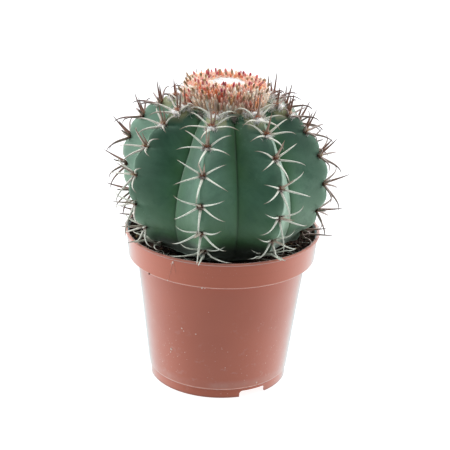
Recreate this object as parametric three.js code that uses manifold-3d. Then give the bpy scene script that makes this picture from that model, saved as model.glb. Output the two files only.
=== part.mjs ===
// A round ribbed cactus with a bristly cap, growing in potting soil in a plastic nursery pot.
// Millimetres, +Z up, the origin on the ground under the middle of the pot. An azimuth of 0 degrees
// is the front of the pot (-Y), and it grows towards +X.
import * as THREE from 'three';
import { mergeVertices } from 'three/addons/utils/BufferGeometryUtils.js';
import Module from 'manifold-3d';

const wasm = await Module();
wasm.setup();

const DEGREES = Math.PI / 180;

// Clearance between neighbouring pieces
const GAP = 0.3;

// Pot
const POT_HEIGHT = 97;
const POT_SEGMENTS = 60;
const WALL = 1.3;
const LIP_RADIUS = 60.7;
const LIP_HEIGHT = 2.2;
const BAND_TOP_RADIUS = 59.5;
const BAND_BOTTOM_RADIUS = 58.2;
const BAND_BOTTOM = 80;
const BODY_TOP_RADIUS = 52.7;
const BODY_BOTTOM_RADIUS = 43.9;
const FOOT_HEIGHT = 6.5;
const FOOT_RADIUS = 43.1;
const NOTCHES = 3;
const NOTCH_WIDTH = 18.5;
const NOTCH_HEIGHT = 4.1;
const NOTCH_AZIMUTH = 31.5;
const DRAIN_HOLES = 6;
const DRAIN_RADIUS = 4;
const DRAIN_RING_RADIUS = 26;

// Soil
const SOIL_TOP = 89.5;
const SOIL_BUMP = 0.7;
const SOIL_SEGMENTS = 48;
const HOLE_RADIUS = 39.4;
const HOLE_ROOM = 0.4;

// Stem: the notched crests of the ribs follow an ellipse round the axis
const RIBS = 8;
const FIRST_RIB_AZIMUTH = -57;
const STEM_CENTRE = 131.9;
const CREST_RADIUS = 62.1;
const CREST_HALF_HEIGHT = 52.7;
const CREST_BULGE = 2.8;
const CREST_ROUNDING = 0.14;
const GROOVE_DEPTH = 0.24;
const GROOVE_DEPTH_PER_DEGREE = 0.004;
const GROOVE_DEPTH_LIMIT = 0.34;
const GROOVE_LEAST_RADIUS = 24.8;
const CROWN_RADIUS = 25.4;
const CROWN_HEIGHT = 177;
const BURIED_LATITUDES = [-80, -68, -57];

// Areoles, the spine cushions, stand in the notches of the crests. They crowd together towards the
// crown and the soil, and on every second rib they are half a step higher.
const AREOLE_LATITUDE = 62;
const AREOLE_STEP = 0.32;
const AREOLE_OFFSET = 0.8;
const FIRST_RING = -3;
const LAST_RING = 4;
const LOWEST_AREOLE = [-2.5, -2];
const HIGHEST_AREOLE = 3.5;

// The youngest areole of each rib stands at the foot of the cap
const CROWN_AREOLE = [4.4, 4];

// The two ribs at the left grew fuller than the others, each between two areole numbers
const FULL_RIBS = [
  { rib: 7, fuller: 3, from: 0, to: 4.5 },
  { rib: 0, fuller: 1.9, from: -2, to: 2.5 },
];

// Spines: clock is the direction seen from outside (0 towards the crown), reach the length along
// the surface, out the height of the tip over it, arch the rise of the middle of the spine, spread
// the distance of its root from the middle of the areole, and from the lowest areole that has it
const SPINE_STAR = [
  { clock: 63, reach: 14.4, out: 3.4, arch: 2.9, spread: 1.6, from: -3 },
  { clock: -63, reach: 14.4, out: 3.4, arch: 2.9, spread: 1.6, from: -3 },
  { clock: 111, reach: 16.2, out: 5.0, arch: 2.9, spread: 1.6, from: -3 },
  { clock: -111, reach: 16.2, out: 5.0, arch: 2.9, spread: 1.6, from: -3 },
  { clock: 180, reach: 16.0, out: 8.8, arch: 2.6, spread: 1.6, from: -3 },
  { clock: 0, reach: 6.5, out: 14.5, arch: 0.6, spread: 0.3, from: -3 },
  { clock: 20, reach: 5.5, out: 10.0, arch: 0.5, spread: 1.6, from: 1 },
];
const CROWN_STAR = [
  { clock: 96, reach: 14.0, out: 3.6, arch: 3.6, spread: 1.4 },
  { clock: -96, reach: 14.0, out: 3.6, arch: 3.6, spread: 1.4 },
  { clock: 0, reach: 4.0, out: 11.5, arch: 0.6, spread: 0.3 },
];
const SPINE_SINK = 2.4;
const SPINE_ROOT_RADIUS = 0.8;
const SPINE_MIDDLE_RADIUS = 0.62;
const SPINE_JITTER = 0.1;
const SPINE_CLOCK_JITTER = 7;
const LOWEST_STAR_TILT = -15;
const SPINE_SOIL_CLEARANCE = 1.4;
const SPINE_LIP_CLEARANCE = 1.6;
const SPINE_RAMP_START = 38;
const SPINE_RAMP_END = 55;
const SPINE_SLIDE = 0.8;
const SPINE_FURTHEST = 76;

// Cap of bristles on the crown, with a hollow that holds the wool
const CAP_BASE = CROWN_HEIGHT + GAP;
const CAP_RADIUS = 21.6;
const CAP_BASE_RADIUS = 23;
const CAP_SHOULDER = 187;
const CAP_TOP = 189.2;
const CAP_TOP_RADIUS = 17.5;
const CAP_SEGMENTS = 24;
const HOLLOW_RADIUS = 12.4;
const HOLLOW_FLOOR = 186.2;
const TUFT_RADIUS = 1.5;
const TUFT_SINK = 2.5;
const TUFT_FURTHEST = 26.8;
const TUFT_ROWS = [
  { count: 28, radius: 23.2, height: 178.6, length: 7.5, lean: 28 },
  { count: 28, radius: 22.6, height: 182.0, length: 8.0, lean: 26 },
  { count: 26, radius: 22.0, height: 185.4, length: 7.0, lean: 22 },
  { count: 22, radius: 19.4, height: 187.4, length: 5.6, lean: 12 },
  { count: 16, radius: 15.6, height: 188.2, length: 4.0, lean: 4 },
];

// Wool
const WOOL_RADIUS = HOLLOW_RADIUS - GAP;
const WOOL_EDGE = 188.8;
const WOOL_TOP = 190.8;
const WOOL_SEGMENTS = 20;

// A repeatable random number from 0 to 1, by a linear congruential rule
function makeRandom(seed) {
  let state = seed;
  return () => {
    state = (Math.imul(state, 1664525) + 1013904223) >>> 0;
    return state / 4294967296;
  };
}

function polar(radius, azimuth, height) {
  const angle = azimuth * DEGREES;
  return new THREE.Vector3(radius * Math.sin(angle), -radius * Math.cos(angle), height);
}

// A closed solid from a geometry whose shared corners are merged first
function toSolid(geometry) {
  const bare = geometry.clone();
  bare.deleteAttribute('normal');
  bare.deleteAttribute('uv');
  const merged = mergeVertices(bare, 1e-4);
  const corners = merged.index.array;
  const kept = [];
  for (let i = 0; i < corners.length; i += 3) {
    const [a, b, c] = [corners[i], corners[i + 1], corners[i + 2]];
    if (a !== b && b !== c && c !== a) kept.push(a, b, c);
  }
  const vertProperties = new Float32Array(merged.attributes.position.array);
  return new wasm.Manifold(new wasm.Mesh({ numProp: 3, vertProperties, triVerts: new Uint32Array(kept) }));
}

function toGeometry(solid) {
  const mesh = solid.getMesh();
  const geometry = new THREE.BufferGeometry();
  geometry.setAttribute('position', new THREE.BufferAttribute(new Float32Array(mesh.vertProperties), 3));
  geometry.setIndex(new THREE.BufferAttribute(new Uint32Array(mesh.triVerts), 1));
  geometry.computeVertexNormals();
  return geometry;
}

// Joins solids in pairs, so that each join stays small
function joinAll(solids) {
  let round = solids;
  while (round.length > 1) {
    const next = [];
    for (let i = 0; i < round.length; i += 2) {
      next.push(i + 1 < round.length ? round[i].add(round[i + 1]) : round[i]);
    }
    round = next;
  }
  return round[0];
}

// A body of revolution about Z from [radius, height] pairs that run up the outside
function lathe(profile, segments) {
  const points = profile.map(([radius, height]) => new THREE.Vector2(radius, height));
  return new THREE.LatheGeometry(points, segments).rotateX(Math.PI / 2);
}

// A closed skin through rings of points, each ring anticlockwise from above, with a point at each end
function ringSkin(rings, bottom, top) {
  const count = rings[0].length;
  const points = [bottom, ...rings.flat(), top];
  const last = points.length - 1;
  const at = (row, column) => 1 + row * count + (column % count);
  const faces = [];
  for (let column = 0; column < count; column++) {
    faces.push(0, at(0, column + 1), at(0, column));
    faces.push(last, at(rings.length - 1, column), at(rings.length - 1, column + 1));
    for (let row = 0; row + 1 < rings.length; row++) {
      faces.push(at(row, column), at(row, column + 1), at(row + 1, column + 1));
      faces.push(at(row, column), at(row + 1, column + 1), at(row + 1, column));
    }
  }
  const geometry = new THREE.BufferGeometry().setFromPoints(points);
  geometry.setIndex(faces);
  return geometry;
}

// A three-sided needle: a ring of three corners at each point but the last, which is its tip
function needle(points, radii, side) {
  const rings = [];
  for (let i = 0; i + 1 < points.length; i++) {
    const along = points[i + 1].clone().sub(points[Math.max(i - 1, 0)]).normalize();
    const first = new THREE.Vector3().crossVectors(side, along).normalize();
    const second = new THREE.Vector3().crossVectors(along, first);
    const ring = [];
    for (let corner = 0; corner < 3; corner++) {
      const angle = corner * 120 * DEGREES;
      ring.push(points[i].clone()
        .addScaledVector(first, radii[i] * Math.cos(angle))
        .addScaledVector(second, radii[i] * Math.sin(angle)));
    }
    rings.push(ring);
  }
  return ringSkin(rings, points[0], points[points.length - 1]);
}

// Pot

const BAND_TOP = POT_HEIGHT - LIP_HEIGHT;
const INNER_FLOOR = FOOT_HEIGHT + WALL;

function bodyRadius(height) {
  const share = (height - FOOT_HEIGHT) / (BAND_BOTTOM - FOOT_HEIGHT);
  return BODY_BOTTOM_RADIUS + (BODY_TOP_RADIUS - BODY_BOTTOM_RADIUS) * share;
}

// The inner wall from the floor up, moved inwards by inset
function innerWall(inset) {
  return [
    [bodyRadius(INNER_FLOOR) - WALL - inset, INNER_FLOOR + inset],
    [BODY_TOP_RADIUS - WALL - inset, BAND_BOTTOM],
    [BAND_BOTTOM_RADIUS - WALL - inset, BAND_BOTTOM + 1.8],
    [BAND_TOP_RADIUS - WALL - inset, BAND_TOP],
  ];
}

function potGeometry() {
  const outside = [
    [0, FOOT_HEIGHT],
    [FOOT_RADIUS - 1.5, FOOT_HEIGHT],
    [FOOT_RADIUS - 1.5, 0],
    [FOOT_RADIUS, 0],
    [FOOT_RADIUS, FOOT_HEIGHT - 0.6],
    [BODY_BOTTOM_RADIUS, FOOT_HEIGHT],
    [BODY_TOP_RADIUS, BAND_BOTTOM],
    [BAND_BOTTOM_RADIUS - 0.6, BAND_BOTTOM],
    [BAND_BOTTOM_RADIUS, BAND_BOTTOM + 0.6],
    [BAND_TOP_RADIUS, BAND_TOP],
    [LIP_RADIUS, BAND_TOP + 0.7],
    [LIP_RADIUS, POT_HEIGHT - 0.5],
    [LIP_RADIUS - 0.5, POT_HEIGHT],
    [LIP_RADIUS - 2.0, POT_HEIGHT],
  ];
  const inside = [...innerWall(0)].reverse();
  let pot = toSolid(lathe([...outside, ...inside, [0, INNER_FLOOR]], POT_SEGMENTS));
  for (let i = 0; i < NOTCHES; i++) {
    pot = pot.subtract(notchCutter(NOTCH_AZIMUTH + (360 / NOTCHES) * i));
  }
  const hole = new THREE.CylinderGeometry(DRAIN_RADIUS, DRAIN_RADIUS, WALL * 3, 12).rotateX(Math.PI / 2);
  for (let i = 0; i < DRAIN_HOLES; i++) {
    const place = polar(DRAIN_RING_RADIUS, (360 / DRAIN_HOLES) * i, FOOT_HEIGHT + WALL / 2);
    pot = pot.subtract(toSolid(hole.clone().translate(place.x, place.y, place.z)));
  }
  return toGeometry(pot);
}

// A block with two rounded upper corners that opens the foot ring from the ground up
function notchCutter(azimuth) {
  const half = NOTCH_WIDTH / 2;
  const height = NOTCH_HEIGHT;
  const corner = 2.2;
  const outline = new THREE.Shape();
  outline.moveTo(-half, -1);
  outline.lineTo(half, -1);
  outline.lineTo(half, height - corner);
  outline.absarc(half - corner, height - corner, corner, 0, 90 * DEGREES, false);
  outline.absarc(corner - half, height - corner, corner, 90 * DEGREES, 180 * DEGREES, false);
  outline.closePath();
  const block = new THREE.ExtrudeGeometry(outline, { depth: 8, bevelEnabled: false, curveSegments: 4 });
  block.rotateX(Math.PI / 2);
  block.translate(0, 4 - FOOT_RADIUS, 0);
  block.rotateZ(azimuth * DEGREES);
  return toSolid(block);
}

// Soil

// The hole in which the stem stands: its buried end with a little room round it, from the rim down
function stemHole() {
  const hole = [[HOLE_RADIUS, SOIL_TOP]];
  for (const latitude of [...BURIED_LATITUDES].reverse()) {
    const { radius, height } = crestPoint(latitude);
    hole.push([radius + HOLE_ROOM, height - HOLE_ROOM]);
  }
  hole.push([0, STEM_CENTRE - CREST_HALF_HEIGHT - HOLE_ROOM]);
  return hole;
}

function soilGeometry() {
  const wall = innerWall(GAP);
  const top = wall[3];
  const share = (SOIL_TOP - wall[2][1]) / (top[1] - wall[2][1]);
  const edgeRadius = wall[2][0] + (top[0] - wall[2][0]) * share;
  const profile = [[0, INNER_FLOOR + GAP], ...wall.slice(0, 3), [edgeRadius, SOIL_TOP]];
  const firstTopRing = profile.length;
  for (const radius of [51, 46, 41.5]) profile.push([radius, SOIL_TOP]);
  profile.push(...stemHole());
  const soil = lathe(profile, SOIL_SEGMENTS);
  const place = soil.attributes.position;
  for (let i = 0; i < place.count; i++) {
    const ring = i % profile.length;
    if (ring < firstTopRing || ring > firstTopRing + 2) continue;
    const angle = Math.atan2(place.getY(i), place.getX(i));
    const wave = Math.sin(5 * angle + 2 * ring) + Math.sin(11 * angle - 3 * ring);
    place.setZ(i, place.getZ(i) + SOIL_BUMP * wave / 2);
  }
  return soil;
}

// Stem

// Latitude in degrees of areole number n, counted upwards from the widest place
function areoleLatitude(n) {
  return AREOLE_OFFSET + AREOLE_LATITUDE * Math.sin(AREOLE_STEP * n);
}

// The point of the crest's ellipse at a latitude, as [radius, height], and the slope of its normal
function crestPoint(latitude) {
  const angle = latitude * DEGREES;
  return {
    radius: CREST_RADIUS * Math.cos(angle),
    height: STEM_CENTRE + CREST_HALF_HEIGHT * Math.sin(angle),
    tilt: Math.atan2(CREST_RADIUS * Math.sin(angle), CREST_HALF_HEIGHT * Math.cos(angle)),
  };
}

// The radius on a flank, which runs flat from the rounded crest (share 0) to the groove (share 1)
function flankRadius(crestRadius, depth, share) {
  const round = CREST_ROUNDING;
  const halfStep = (180 / RIBS) * DEGREES;
  const turn = halfStep * (Math.hypot(share, round) - round) / (Math.hypot(1, round) - round);
  const grooveRadius = crestRadius * (1 - depth);
  const span = crestRadius * Math.sin(turn) + grooveRadius * Math.sin(halfStep - turn);
  return crestRadius * grooveRadius * Math.sin(halfStep) / span;
}

function grooveDepth(latitude, crestRadius) {
  const depth = GROOVE_DEPTH + GROOVE_DEPTH_PER_DEGREE * latitude;
  const room = 1 - GROOVE_LEAST_RADIUS / crestRadius;
  return Math.max(0, Math.min(depth, GROOVE_DEPTH_LIMIT, room));
}

// How much further out than the ellipse the crest of a rib stands at areole number n
function fullness(rib, n) {
  const full = FULL_RIBS.find((one) => one.rib === rib);
  if (!full || n < full.from || n > full.to) return 0;
  return full.fuller * Math.sin(Math.PI * (n - full.from) / (full.to - full.from));
}

// A ring of the stem at a latitude, with the crests swollen between the areoles by up to bulge
function stemRing(latitude, n, bulge) {
  const crest = crestPoint(latitude);
  const depth = grooveDepth(latitude, crest.radius);
  const ring = [];
  for (let rib = 0; rib < RIBS; rib++) {
    const azimuth = FIRST_RIB_AZIMUTH + (360 / RIBS) * rib;
    const notchStep = rib % 2 === 0 ? 0.5 : 0;
    const swollen = bulge * Math.abs(Math.sin(Math.PI * (n - notchStep)));
    for (const share of [-1, -0.62, -0.25, 0, 0.25, 0.62]) {
      const swell = swollen * (1 - Math.abs(share)) ** 2;
      const flank = flankRadius(crest.radius, depth, Math.abs(share));
      const fuller = fullness(rib, n) * Math.cos(share * 90 * DEGREES) ** 2;
      const radius = flank + fuller + swell * Math.cos(crest.tilt);
      const height = crest.height + swell * Math.sin(crest.tilt);
      ring.push(polar(radius, azimuth + share * (180 / RIBS), height));
    }
  }
  return ring;
}

function stemBody() {
  const rings = [];
  for (const latitude of BURIED_LATITUDES) rings.push(stemRing(latitude, FIRST_RING, 0));
  for (let n = FIRST_RING; n <= LAST_RING; n += 0.5) {
    const bulge = n === FIRST_RING || n === LAST_RING ? 0 : CREST_BULGE;
    rings.push(stemRing(areoleLatitude(n), n, bulge));
  }
  rings.push(rings[0].map((corner) => {
    const azimuth = Math.atan2(corner.x, -corner.y) / DEGREES;
    return polar(CROWN_RADIUS, azimuth, CROWN_HEIGHT);
  }));
  const bottom = new THREE.Vector3(0, 0, STEM_CENTRE - CREST_HALF_HEIGHT);
  return toSolid(ringSkin(rings, bottom, new THREE.Vector3(0, 0, CROWN_HEIGHT)));
}

// Spine points stay over the soil and the lip: one that would dip lower is bent up and outwards
function bendClear(point) {
  const radius = Math.hypot(point.x, point.y);
  const overSoil = SOIL_TOP + SPINE_SOIL_CLEARANCE;
  const overLip = POT_HEIGHT + SPINE_LIP_CLEARANCE;
  const share = (radius - SPINE_RAMP_START) / (SPINE_RAMP_END - SPINE_RAMP_START);
  const lowest = overSoil + (overLip - overSoil) * THREE.MathUtils.clamp(share, 0, 1);
  if (point.z >= lowest) return point;
  const moved = Math.min(radius + (lowest - point.z) * SPINE_SLIDE, SPINE_FURTHEST);
  const movedShare = (moved - SPINE_RAMP_START) / (SPINE_RAMP_END - SPINE_RAMP_START);
  const height = overSoil + (overLip - overSoil) * THREE.MathUtils.clamp(movedShare, 0, 1);
  return new THREE.Vector3(point.x * moved / radius, point.y * moved / radius, height);
}

// One spine of an areole, given the areole's place and its outward, upward and sideways directions
function spine(areole, form, random) {
  const size = 1 + SPINE_JITTER * (2 * random() - 1);
  const clock = (form.clock + SPINE_CLOCK_JITTER * (2 * random() - 1)) * DEGREES;
  const along = areole.up.clone().multiplyScalar(Math.cos(clock));
  along.addScaledVector(areole.side, Math.sin(clock));
  const reach = form.reach * size;
  const out = form.out * size;
  const start = areole.place.clone().addScaledVector(along, form.spread);
  const aim = along.clone().multiplyScalar(reach).addScaledVector(areole.normal, out + 4 * form.arch);
  const root = start.clone().addScaledVector(aim.normalize(), -SPINE_SINK);
  const middle = start.clone().addScaledVector(along, reach / 2);
  middle.addScaledVector(areole.normal, out / 2 + form.arch);
  const tip = start.clone().addScaledVector(along, reach).addScaledVector(areole.normal, out);
  const points = [root, bendClear(middle), bendClear(tip)];
  const side = new THREE.Vector3().crossVectors(along, areole.normal);
  return toSolid(needle(points, [SPINE_ROOT_RADIUS, SPINE_MIDDLE_RADIUS], side));
}

function areoleAt(rib, n) {
  const azimuth = FIRST_RIB_AZIMUTH + (360 / RIBS) * rib;
  const crest = crestPoint(areoleLatitude(n));
  const tilt = Math.max(crest.tilt, LOWEST_STAR_TILT * DEGREES);
  const outward = polar(1, azimuth, 0);
  const normal = outward.clone().multiplyScalar(Math.cos(tilt));
  normal.z = Math.sin(tilt);
  const up = outward.clone().multiplyScalar(-Math.sin(tilt));
  up.z = Math.cos(tilt);
  const side = polar(1, azimuth + 90, 0);
  return { place: polar(crest.radius + fullness(rib, n), azimuth, crest.height), normal, up, side };
}

function stemGeometry() {
  const random = makeRandom(11);
  const spines = [];
  for (let rib = 0; rib < RIBS; rib++) {
    for (let n = LOWEST_AREOLE[rib % 2]; n <= HIGHEST_AREOLE; n++) {
      const areole = areoleAt(rib, n);
      for (const form of SPINE_STAR.filter(({ from }) => n >= from)) {
        spines.push(spine(areole, form, random));
      }
    }
  }
  for (let rib = 0; rib < RIBS; rib++) {
    const areole = areoleAt(rib, CROWN_AREOLE[rib % 2]);
    for (const form of CROWN_STAR) spines.push(spine(areole, form, random));
  }
  return toGeometry(stemBody().add(joinAll(spines)));
}

// Cap of bristles

function capGeometry() {
  const random = makeRandom(23);
  const core = toSolid(lathe([
    [0, CAP_BASE],
    [CAP_BASE_RADIUS, CAP_BASE],
    [CAP_RADIUS, CAP_SHOULDER],
    [CAP_TOP_RADIUS, CAP_TOP],
    [HOLLOW_RADIUS, CAP_TOP],
    [HOLLOW_RADIUS, HOLLOW_FLOOR],
    [0, HOLLOW_FLOOR],
  ], CAP_SEGMENTS));
  const tufts = [];
  TUFT_ROWS.forEach((row, rowNumber) => {
    for (let i = 0; i < row.count; i++) {
      const azimuth = (360 / row.count) * (i + 0.5 * (rowNumber % 2) + 0.3 * (random() - 0.5));
      tufts.push(tuft(row, azimuth, random));
    }
  });
  return toGeometry(core.add(joinAll(tufts)));
}

// A pointed tuft that leans outwards from its root, and stays inside the cap's widest ring
function tuft(row, azimuth, random) {
  const lean = (row.lean + 8 * (random() - 0.5)) * DEGREES;
  const length = row.length * (0.85 + 0.3 * random());
  const end = Math.min(row.radius + length * Math.sin(lean), TUFT_FURTHEST);
  const start = row.radius - TUFT_RADIUS - TUFT_SINK * Math.sin(lean);
  const lowest = CAP_BASE + TUFT_RADIUS;
  const root = polar(start, azimuth, Math.max(row.height - TUFT_SINK * Math.cos(lean), lowest));
  const tip = polar(end, azimuth, row.height + length * Math.cos(lean));
  return toSolid(needle([root, tip], [TUFT_RADIUS], polar(1, azimuth + 90, 0)));
}

// Wool

function woolGeometry() {
  const wool = lathe([
    [0, HOLLOW_FLOOR + GAP],
    [WOOL_RADIUS, HOLLOW_FLOOR + GAP],
    [WOOL_RADIUS, WOOL_EDGE],
    [WOOL_RADIUS * 0.72, (WOOL_EDGE + WOOL_TOP) / 2 + 0.3],
    [WOOL_RADIUS * 0.36, WOOL_TOP],
    [0, WOOL_TOP],
  ], WOOL_SEGMENTS);
  return wool;
}

function piece(name, geometry, colour, roughness) {
  const material = new THREE.MeshStandardMaterial({ color: colour, roughness, metalness: 0 });
  const mesh = new THREE.Mesh(geometry, material);
  mesh.name = name;
  return mesh;
}

const cactus = new THREE.Group();
cactus.name = 'potted_round_cactus';
cactus.add(piece('pot', potGeometry(), 0x9e6355, 0.42));
cactus.add(piece('potting_soil', soilGeometry(), 0x1d1916, 0.95));
cactus.add(piece('cactus_stem', stemGeometry(), 0x4a7460, 0.6));
cactus.add(piece('cephalium_bristles', capGeometry(), 0xc07a58, 0.85));
cactus.add(piece('cephalium_wool', woolGeometry(), 0xefe9e0, 0.95));

export default cactus;
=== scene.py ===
"""The finished look of a round ribbed cactus with a bristly cap, in a plastic nursery pot."""
import itertools
import math

import bpy
import numpy as np
from mathutils import Matrix, Vector


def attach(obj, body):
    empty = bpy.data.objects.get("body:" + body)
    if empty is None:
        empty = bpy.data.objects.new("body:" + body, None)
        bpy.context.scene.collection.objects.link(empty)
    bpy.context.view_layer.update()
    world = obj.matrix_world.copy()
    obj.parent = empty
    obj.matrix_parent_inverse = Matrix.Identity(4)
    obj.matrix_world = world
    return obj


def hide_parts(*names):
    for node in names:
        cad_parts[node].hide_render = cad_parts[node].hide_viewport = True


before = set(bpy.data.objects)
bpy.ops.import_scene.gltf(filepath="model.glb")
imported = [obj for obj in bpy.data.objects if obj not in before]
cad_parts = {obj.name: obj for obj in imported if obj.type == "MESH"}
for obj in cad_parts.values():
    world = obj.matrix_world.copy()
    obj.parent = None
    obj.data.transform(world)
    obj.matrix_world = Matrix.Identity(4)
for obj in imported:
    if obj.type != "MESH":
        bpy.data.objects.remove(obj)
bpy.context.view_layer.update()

MM = 0.001
BODY = "root"

# Gap between the soil and the pot, and between the wool and its hollow, in millimetres
GAP = 0.3

# Camera, fitted to the photograph: what it looks at, its distance, and its angles
LOOK_AT = (1.62, 0.0, 98.29)
CAMERA_DISTANCE = 900.0
CAMERA_ELEVATION = 21.25
CAMERA_ROLL = 2.01
LENS = 115.74
SENSOR = 36.0

# Pot, in millimetres
POT_HEIGHT = 97.0
WALL = 1.3
LIP_RADIUS = 60.7
LIP_HEIGHT = 1.5
BAND_TOP = POT_HEIGHT - LIP_HEIGHT
BAND_TOP_RADIUS = 59.5
BAND_BOTTOM_RADIUS = 58.2
BAND_BOTTOM = 80.0
LEDGE = BAND_BOTTOM + 1.8
BODY_TOP_RADIUS = 52.7
BODY_BOTTOM_RADIUS = 43.9
FOOT_HEIGHT = 6.5
FOOT_RADIUS = 43.1
FOOT_WALL = 1.5
POT_ROUNDING = 0.45
POT_SEGMENTS = 240
SHARP_ANGLE = 35.0
NOTCHES = 3
NOTCH_WIDTH = 18.5
NOTCH_HEIGHT = 4.1
NOTCH_CORNER = 2.2
NOTCH_AZIMUTH = 31.5
NOTCH_CUT = 8.0
DRAIN_HOLES = 6
DRAIN_RADIUS = 4.0
DRAIN_RING_RADIUS = 26.0
DRAIN_SIDES = 32

# Soil: its crust on the pot's wall, its lumpy top, and the hollow in which the stem sits
SOIL_TOP = 89.5
SOIL_BOTTOM = 8.1
SOIL_SEGMENTS = 360
CRUST_HEIGHT = 5.4
CRUST_THICKNESS = 0.5
CRUST_FOOT = 1.5
LUMPY_RINGS = 34
LUMPY_FROM_RADIUS = 39.0
SEAT_RADIUS = 39.4
SEAT = [(34.5, 87.2), (20.0, 82.4), (10.5, 79.6)]
SEAT_BOTTOM = 78.8

# Crumbs on the soil: count, the radii between which they lie, the share of peat, and of peat or bark
CRUMBS = 2600
CRUMB_REACH = (38.5, 55.4)
PEAT_UP_TO = 0.86
BARK_UP_TO = 0.965

# Fallen spines: azimuth, its spread and the count of each group, and the radii between which they lie
FALLEN_GROUPS = [(-38, 16, 22), (62, 18, 12)]
FALLEN_ANYWHERE = 12
FALLEN_REACH = (41.5, 54.6)

# Stem
RIBS = 8
RIB_STEP = 360 / RIBS
FIRST_RIB_AZIMUTH = -57.0
STEM_CENTRE = 131.9
CREST_RADIUS = 62.1
CREST_HALF_HEIGHT = 52.7
CREST_BULGE = 2.9
CREST_BULGE_SOFTNESS = 0.12
CREST_ROUNDING = 0.11
GROOVE_DEPTH = 0.24
GROOVE_DEPTH_PER_DEGREE = 0.004
GROOVE_DEPTH_LIMIT = 0.34
GROOVE_LEAST_RADIUS = 24.8
GROOVE_CREASE = 0.08
CROWN_HEIGHT = 177.0
CROWN_RINGS = [(27.0, 177.2), (25.4, CROWN_HEIGHT), (12.7, CROWN_HEIGHT)]
PIT_DEPTH = 0.8
PIT_LENGTH = 0.09
PIT_WIDTH = 0.16
COLUMNS_PER_RIB = 48
STEM_ROWS = 168
BURIED_ROWS = 12

# Where the skin's colours change: shares of the way from crest to groove, and an areole number
CREST_COLOUR_WIDTH = 0.1
GROOVE_COLOUR_FROM = 0.25
YOUNG_COLOUR_FROM = 0.5

# Areoles: number n of the areole gives its latitude, as in the solid
AREOLE_LATITUDE = 62.0
AREOLE_STEP = 0.32
AREOLE_OFFSET = 0.8
FIRST_RING = -3.0
LAST_RING = 4.0
LOWEST_AREOLE = (-2.5, -2.0)
HIGHEST_AREOLE = 3.5
CROWN_AREOLE = (4.4, 4.0)

# Fuller ribs: rib, how many millimetres it stands out, and from which to which areole number
FULL_RIBS = [(7, 3.0, 0.0, 4.5), (0, 1.9, -2.0, 2.5)]

# Spines: clock, reach, out, arch, spread and the lowest areole that has it, as in the solid
SPINE_STAR = [
    (63, 14.4, 3.4, 2.9, 1.6, -3),
    (-63, 14.4, 3.4, 2.9, 1.6, -3),
    (111, 16.2, 5.0, 2.9, 1.6, -3),
    (-111, 16.2, 5.0, 2.9, 1.6, -3),
    (180, 16.0, 8.8, 2.6, 1.6, -3),
    (0, 6.5, 14.5, 0.6, 0.3, -3),
    (20, 5.5, 10.0, 0.5, 1.6, 1),
]
CROWN_STAR = [
    (96, 14.0, 3.6, 3.6, 1.4, -3),
    (-96, 14.0, 3.6, 3.6, 1.4, -3),
    (0, 4.0, 11.5, 0.6, 0.3, -3),
]
CENTRAL_CLOCK = 30
SPINE_SINK = 2.4
SPINE_ROOT_RADIUS = 0.72
SPINE_TAPER = 0.7
SPINE_HOOK = 0.8
SPINE_SEGMENTS = 9
SPINE_SIDES = 6
SPINE_JITTER = 0.1
SPINE_CLOCK_JITTER = 7.0
LOWEST_STAR_TILT = -15.0
SPINE_SLIDE = 0.8
SPINE_FURTHEST = 76.0

# Spines stay clear of the soil and of the lip: two radii, and the lowest heights there
CLEAR_RADII = (38.0, 55.0)
CLEAR_HEIGHTS = (SOIL_TOP + 1.4, POT_HEIGHT + 1.6)

# How much darker and browner the spines of each rib are: those at the sides and behind are browner and
# thicker
SPINE_DARKENING = (0.3, 0.0, 0.1, 0.9, 1.0, 1.0, 1.0, 1.0)
DARKENED_WIDTH = 0.16

# Cap: radii and heights of its core, from the base to the floor of the hollow in its top
HOLLOW_RADIUS = 12.4
HOLLOW_FLOOR = 186.2
CAP_PROFILE = [
    (0.0, 177.3),
    (23.0, 177.3),
    (21.6, 187.0),
    (17.5, 189.2),
    (HOLLOW_RADIUS, 189.2),
    (HOLLOW_RADIUS, HOLLOW_FLOOR),
    (0.0, HOLLOW_FLOOR),
]
CAP_ROUNDING = 0.8
CAP_SEGMENTS = 96

# Rows of tufts: radius and height of the roots, length, and outward lean in degrees. The solid has
# every other row, and not the last one, which grows in the wool's edge.
TUFT_ROWS = [
    (23.2, 178.6, 7.5, 28),
    (22.9, 180.3, 7.7, 27),
    (22.6, 182.0, 7.8, 26),
    (22.3, 183.7, 7.4, 24),
    (22.0, 185.4, 6.9, 22),
    (20.7, 186.4, 6.2, 17),
    (19.4, 187.4, 5.4, 12),
    (17.5, 187.8, 4.6, 8),
    (15.6, 188.2, 3.8, 4),
    (13.9, 188.4, 2.8, 0),
    (12.6, 188.6, 2.6, -22),
    (11.2, 189.1, 2.0, -16),
]
TUFT_SPACING = 2.5
TUFT_RADIUS = 0.85
TUFT_CORE_RADIUS = 1.25
BRISTLES_PER_TUFT = 7
HAIR_SIDES = 3

# The cap is uneven: how much shorter its bristles are on its +X side, how much more they lean and how
# much longer they are on its -X side, and how many millimetres longer those round the wool are in front
CAP_LOPSIDED = 0.14
CAP_LEFT_LEAN = 0.4
CAP_LEFT_LENGTH = 0.16
CAP_FRONT_RISE = 2.2

# Dried flowers between the tufts: count, lowest and highest row, share of the row's length. Then the
# outline of one: shares of its length, and the widths there.
FLOWER_RINGS = [
    (26, 7.2, 9.0, 1.35),
    (32, 4.5, 7.0, 1.15),
    (30, 0.5, 4.5, 1.06),
]
FLOWER_STEPS = np.array([0, 0.3, 0.52, 0.62, 0.76, 0.9, 0.98, 1.0])
FLOWER_WIDTHS = np.array([0.6, 0.6, 0.65, 0.85, 1.0, 0.85, 0.5, 0.0])
FLOWER_HEAD_FROM = 0.5
FLOWER_HEAD_FULL = 0.66

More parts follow.
